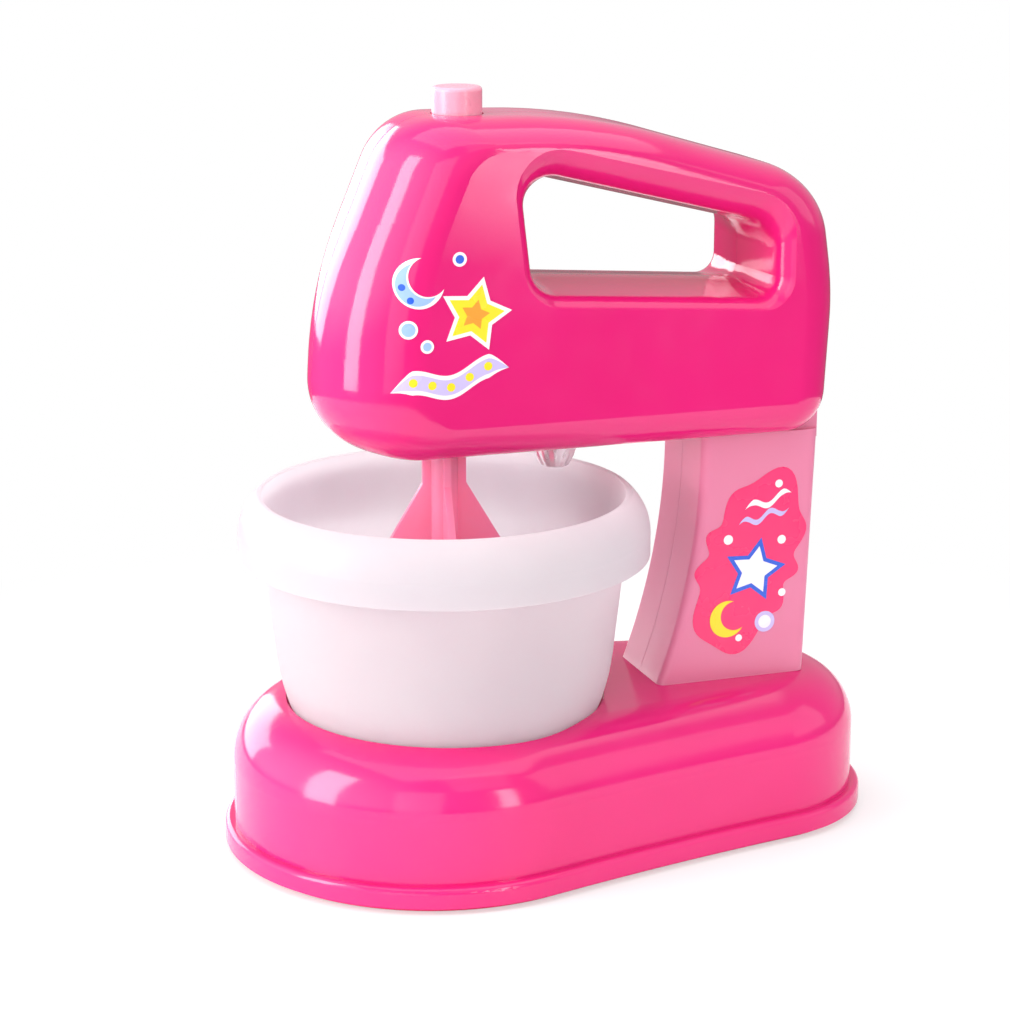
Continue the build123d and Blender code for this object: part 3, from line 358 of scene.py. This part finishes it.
low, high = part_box("column_left")
column_face = ((low[0] + high[0]) / 2 + 2.5 * MM, low[2] + 31.5 * MM)
lobes = []
for i in range(120):
    t = 2 * pi * i / 120
    reach = 1 / ((cos(t) / 21.5) ** 2 + (sin(t) / 11.0) ** 2) ** 0.5 + 1.1 * cos(9 * t + 0.6)
    lobes.append((reach * cos(t + radians(70)), reach * sin(t + radians(70))))
sticker(
    "column_sticker", "column_left", "stand", column_face,
    [
        (hot_pink, [lobes]),
        (ink_blue, [star(1.2, -2.0, 7.6, 3.9, 12)]),
        (ink_white, [star(1.2, -2.0, 5.6, 2.9, 12)]),
        (ink_white, [wave(1.3, 4.2, 13.6, 11, swing=0.9, bends=1.5, rise=3.0)]),
        (ink_lilac, [wave(1.2, 3.2, 10.2, 12, swing=0.8, bends=2.0, rise=3.0), circle(4.0, -14.0, 2.4)]),
        (ink_yellow, [crescent(-5.0, -12.6, 4.2, 2.7, 50, 20)]),
        (
            ink_white,
            [
                circle(-5.2, 5.6, 1.1), circle(7.6, 4.6, 1.0), circle(8.0, -7.6, 0.9),
                circle(4.0, -14.0, 1.5), circle(-2.2, -17.2, 0.8), circle(6.6, 17.4, 0.9),
            ],
        ),
    ],
)

# Bowl: a loose tub in white polypropylene, moulded in one piece, its rim turned over into a collar.
# It stands in the base's recess by its own weight.
MILKY_PP = {"IOR": 1.49, "Subsurface_Weight": 0.5, "Subsurface_Scale": 4.0 * MM}
MILKY_PP["Subsurface_Radius"] = (1.0, 0.94, 0.96)
# Polypropylene is milky: light enters and spreads, so its shadows are soft and tinted.
bowl_pp = plastic(
    "moulded_polypropylene_white", "#EEECEE", "#EBE8EB", 0.33, 2.2, 0.008, glow=0.7, **MILKY_PP
)
finish(bowl_pp, "bowl")

# Head: two half shells in the same glossy ABS as the base, joined on the middle plane by four screws.
# It hangs on the column's lug by a steel pin. A polished mould gives it the base's sharp reflections.
head_abs = plastic(
    "glossy_moulded_abs_head", "#DD2074", "#DA1D70", 0.11, 5.0, 0.004, seam=True, **GLOSSY_ABS
)
finish(head_abs, "head_left", "head_right")

# Stickers on the head's left flank: vinyl motifs die-cut to their own outlines with a white edge.
# Generic ones in the colours of toy decals: a star, a moon with bubbles, and a dotted ribbon.
low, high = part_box("head_left")
head_face = (low[0] + 25.0 * MM, low[2] + 30.0 * MM)
sticker(
    "head_sticker_star", "head_left", "head", head_face,
    [
        (ink_white, [star(4.6, 1.4, 8.0, 4.3, 14)]),
        (ink_yellow, [star(4.6, 1.4, 6.4, 3.4, 14)]),
        (ink_orange, [star(4.6, 1.4, 3.2, 1.7, 14)]),
    ],
)
sticker(
    "head_sticker_moon", "head_left", "head", head_face,
    [
        (
            ink_white,
            [
                crescent(-7.0, 8.4, 5.2, 3.4, 50, 35), circle(-9.4, -1.0, 1.9), circle(-5.6, -4.6, 1.4),
                circle(1.4, 13.0, 1.5),
            ],
        ),
        (
            ink_sky,
            [crescent(-7.33, 8.17, 4.4, 2.6, 70, 35), circle(-9.4, -1.0, 1.4), circle(-5.6, -4.6, 0.9)],
        ),
        (ink_blue, [circle(-10.5, 7.7, 0.7), circle(-8.9, 5.0, 0.7), circle(1.4, 13.0, 0.9)]),
    ],
)
RIBBON = {"x": -0.6, "z": -12.0, "length": 25, "swing": 1.3, "bends": 1.5, "rise": 4.0}
dots = []
for x in (-8, -4, 0, 4, 8):
    share = x / RIBBON["length"] + 0.5
    dots.append(circle(x + RIBBON["x"], RIBBON["z"] + wave_middle(share, **RIBBON), 0.9))
sticker(
    "head_sticker_ribbon", "head_left", "head", head_face,
    [(ink_white, [wave(5.0, **RIBBON)]), (ink_lilac, [wave(3.2, **RIBBON)]), (ink_yellow, dots)],
)

# Gearbox, wheels, motor cap and switch inside the head: unpainted acetal and nylon mouldings.
# Screws hold the gearbox and its lid; the lamp's board is cut from epoxy glass.
# Acetal is a waxy off-white with a soft sheen.
acetal = plastic("moulded_acetal_white", "#EFEDE6", "#E8E6DE", 0.35, 1.5, 0.01, IOR=1.48)
finish(acetal, "gearbox_tray", "gearbox_lid", "compound_wheel", "beater_wheel", "motor_cap")
# Black nylon is dull, with a fine grain.
nylon = plastic("moulded_nylon_black", "#1E1E20", "#18181A", 0.4, 1.2, 0.01, IOR=1.53)
finish(nylon, "switch_body")
# Epoxy glass is green and shows the weave of its cloth as a fine unevenness.
board_epoxy = plastic("epoxy_glass_board", "#2F6B45", "#295F3D", 0.35, 0.6, 0.01, IOR=1.55)
finish(board_epoxy, "lamp_board")

# Button: a round cap in pale ABS that slides in the head and stands on the switch.
# A flange under the head's skin keeps it in.
# Satin ABS as on the column: a soft haze instead of a sharp reflection.
button_abs = plastic("satin_moulded_abs_button", "#F2A6BB", "#EFA1B7", 0.28, 2.5, 0.008, **PALE_ABS)
finish(button_abs, "button")

# Beater: four flat vanes on a round hub, one moulding in mid-pink polypropylene.
# The steel spindle is pressed into its hub.
BEATER_PP = {"IOR": 1.49, "Subsurface_Weight": 0.4, "Subsurface_Scale": 2.5 * MM}
BEATER_PP["Subsurface_Radius"] = (1.0, 0.5, 0.65)
# Thin polypropylene lets light through, so the vanes stay bright in the bowl's shade.
beater_pp = plastic(
    "moulded_polypropylene_pink", "#FFA2C4", "#FD9ABE", 0.3, 2.0, 0.01, glow=0.4, **BEATER_PP
)
finish(beater_pp, "beater")

# Lamp: a fluted cup moulded in clear polystyrene under the head, a small diode above it.
# The cup's flange lies inside the head's skin; its flutes spread the diode's light.
FLUTES = 10
FLUTE_MM = 0.35
TIP_R_MM = 3.1
WALL_MM = 1.2
FLANGE_WIDTH_MM = 0.8
FLANGE_MM = 1.2
low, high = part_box("lamp_lens")
lens_x = (low[0] + high[0]) / 2
skin_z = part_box("head_left")[0][2]
flange_r = (high[0] - low[0]) / 2
cup_r = flange_r - FLANGE_WIDTH_MM * MM
tip_r = TIP_R_MM * MM
wall = WALL_MM * MM
seat_z = high[2] - FLANGE_MM * MM
# Rings from the cup's outer middle, round its rim, to its inner middle: radius, height, fluted or not.
rings = [
    (0.5 * tip_r, low[2], 0.0),
    (0.85 * tip_r, low[2], 0.5),
    (tip_r, low[2] + 0.25 * MM, 1.0),
    (0.75 * cup_r, low[2] + 2.4 * MM, 1.0),
    (cup_r, skin_z - 0.4 * MM, 1.0),
    (cup_r, skin_z, 0.0),
    (cup_r, seat_z, 0.0),
    (flange_r, seat_z, 0.0),
    (flange_r, high[2], 0.0),
    (cup_r - wall, high[2], 0.0),
    (cup_r - wall, skin_z, 0.0),
    (tip_r - wall, low[2] + wall, 0.0),
    (0.4 * tip_r, low[2] + wall, 0.0),
]
SPOKES = 12 * FLUTES
points = []
for reach, height, fluted in rings:
    for i in range(SPOKES):
        t = 2 * pi * i / SPOKES
        r = reach - fluted * FLUTE_MM * MM * (0.5 - 0.5 * cos(FLUTES * t))
        points.append((lens_x + r * cos(t), r * sin(t), height))
faces = []
for k in range(len(rings) - 1):
    for i in range(SPOKES):
        j = (i + 1) % SPOKES
        faces.append([k * SPOKES + j, k * SPOKES + i, (k + 1) * SPOKES + i, (k + 1) * SPOKES + j])
faces.append(list(range(SPOKES)))
faces.append([len(points) - 1 - i for i in range(SPOKES)])
lens_mesh = bpy.data.meshes.new("lamp_cup")
lens_mesh.from_pydata(points, [], faces)
lens_mesh.validate()
lens_mesh.polygons.foreach_set("use_smooth", [len(p.vertices) == 4 for p in lens_mesh.polygons])
lamp_cup = bpy.data.objects.new("lamp_cup", lens_mesh)
bpy.context.scene.collection.objects.link(lamp_cup)
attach(lamp_cup, "head")
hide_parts("lamp_lens")
# Clear styrene bends the light strongly at its edges; its wall is a little hazy, with faint flow lines.
clear_styrene, tree, surface = material("clear_moulded_polystyrene")
place = node(tree, "TexCoord").outputs["Object"]
flow = node(tree, "TexNoise", {"Vector": place}, Scale=1 / (2.5 * MM), Detail=2.0)
rough = node(tree, "MapRange", {"Value": flow.outputs["Fac"]}, To_Min=0.02, To_Max=0.09)
relief = node(tree, "Bump", {"Height": flow.outputs["Fac"]}, Strength=0.8, Distance=0.03 * MM)
skin = node(
    tree, "BsdfPrincipled", {"Roughness": rough.outputs[0], "Normal": relief.outputs[0]},
    Base_Color=linear("#FFF4F8"), Transmission_Weight=0.8, IOR=1.59,
)
tree.links.new(skin.outputs[0], surface)
lens_mesh.materials.append(clear_styrene)
finish(clear_styrene, "lamp_led")

# Floor: a round white table top that keeps the toy's shadow.
# Away from the toy it fades to the plain white of the backdrop, so that no edge shows.
TABLE_R = 0.34
table_z = cad_box[0][2]
rim = [(TABLE_R * cos(2 * pi * i / 96), TABLE_R * sin(2 * pi * i / 96), table_z) for i in range(96)]
table_mesh = bpy.data.meshes.new("table")
table_mesh.from_pydata(rim, [], [list(range(96))])
table = bpy.data.objects.new("table", table_mesh)
bpy.context.scene.collection.objects.link(table)
table_top, tree, surface = material("matt_white_table")
place = node(tree, "TexCoord").outputs["Object"]
away = node(tree, "VectorMath", {0: place}, operation="LENGTH")
fade = node(
    tree, "MapRange", {"Value": away.outputs["Value"]}, interpolation_type="SMOOTHSTEP",
    From_Min=0.09, From_Max=0.24, To_Min=0.5, To_Max=1.0,
)
path = node(tree, "LightPath")
fade = node(tree, "Math", {0: fade.outputs[0], 1: path.outputs["Is Camera Ray"]}, operation="MULTIPLY")
paint = node(tree, "BsdfPrincipled", Base_Color=linear("#F7F7F7"), Roughness=0.6)
backdrop = node(tree, "Emission", Color=(1, 1, 1, 1), Strength=1.0)
skin = node(tree, "MixShader", {0: fade.outputs[0], 1: paint.outputs[0], 2: backdrop.outputs[0]})
tree.links.new(skin.outputs[0], surface)
table_mesh.materials.append(table_top)

# Light: a white room, brightest on its left and dim in front and below the table's edge, and soft boxes
# round the toy. The dim parts keep the glossy flanks deep in colour. The boxes give them their bands of
# light, and the room's left side the soft slope beside the band on the head's nose.
ROOM_FRONT = 0.44
ROOM_BACK = 0.62
ROOM_LEFT = 1.8
ROOM_BELOW = 0.3
world = bpy.data.worlds.new("white_room")
world.use_nodes = True
tree = world.node_tree
tree.nodes.clear()
way = node(tree, "SeparateXYZ", {"Vector": node(tree, "TexCoord").outputs["Generated"]})
behind = node(
    tree, "MapRange", {"Value": way.outputs["Y"]}, interpolation_type="SMOOTHSTEP",
    From_Min=-0.3, From_Max=0.5, To_Min=ROOM_FRONT, To_Max=ROOM_BACK,
)
leftward = node(
    tree, "MapRange", {"Value": way.outputs["X"]}, interpolation_type="SMOOTHSTEP",
    From_Min=-1.0, From_Max=-0.25, To_Min=ROOM_LEFT, To_Max=0.0,
)
walls = node(tree, "Math", {0: behind.outputs[0], 1: leftward.outputs[0]}, operation="ADD")
raised = node(
    tree, "MapRange", {"Value": way.outputs["Z"]}, interpolation_type="SMOOTHSTEP",
    From_Min=-0.12, From_Max=0.12, To_Min=ROOM_BELOW, To_Max=1.0,
)
dim = node(tree, "Math", {0: walls.outputs[0], 1: raised.outputs[0]}, operation="MULTIPLY")
path = node(tree, "LightPath")
rays = {0: path.outputs["Is Camera Ray"], 1: path.outputs["Is Transmission Ray"]}
seen = node(tree, "Math", rays, operation="MAXIMUM")
strength = node(tree, "MapRange", {"Value": seen.outputs[0], "To Min": dim.outputs[0]}, To_Max=1.0)
room = node(tree, "Background", {"Strength": strength.outputs[0]}, Color=(1, 1, 1, 1))
node(tree, "OutputWorld", {"Surface": room.outputs[0]})
bpy.context.scene.world = world


def soft_box(name, place, aim, width, height, brightness):
    """A rectangular lamp that faces an aim, sized in metres; its brightness is what a mirror shows."""
    lamp = bpy.data.lights.new(name, "AREA")
    lamp.shape = "RECTANGLE"
    lamp.size = width
    lamp.size_y = height
    lamp.energy = brightness * pi * width * height
    box = bpy.data.objects.new(name, lamp)
    bpy.context.scene.collection.objects.link(box)
    box.location = place
    box.rotation_euler = (Vector(aim) - Vector(place)).to_track_quat("-Z", "Y").to_euler()


middle = (0.0, 0.0, 0.09)
soft_box("left_strip", (-0.93, -0.12, 0.37), middle, 0.36, 0.9, 7.6)
soft_box("front_panel", (-0.5, -0.95, 0.3), middle, 0.5, 0.8, 1.1)
soft_box("right_box", (0.4, -1.0, 0.295), (0.4, 0.0, 0.295), 0.22, 0.63, 6.0)
soft_box("high_front_box", (0.15, -0.75, 0.9), middle, 0.6, 0.6, 0.6)
soft_box("top_box", (0.05, 0.0, 1.0), middle, 1.2, 1.2, 1.35)
soft_box("back_panel", (-0.38, 1.0, 0.26), middle, 0.8, 0.5, 4.4)
soft_box("right_fill", (0.9, -0.45, 0.5), middle, 0.7, 0.7, 1.0)

# Camera: a short telephoto, a little above the toy and to its left.
camera_data = bpy.data.cameras.new("camera")
camera_data.lens = 94.26
camera_data.sensor_width = 36.0
camera = bpy.data.objects.new("camera", camera_data)
bpy.context.scene.collection.objects.link(camera)
camera.location = (-0.18938, -0.52408, 0.22063)
target = Vector((-0.010583, 0.0, 0.073312))
camera.rotation_euler = (target - camera.location).to_track_quat("-Z", "Y").to_euler()
bpy.context.scene.camera = camera
bpy.context.scene.view_settings.view_transform = "Standard"
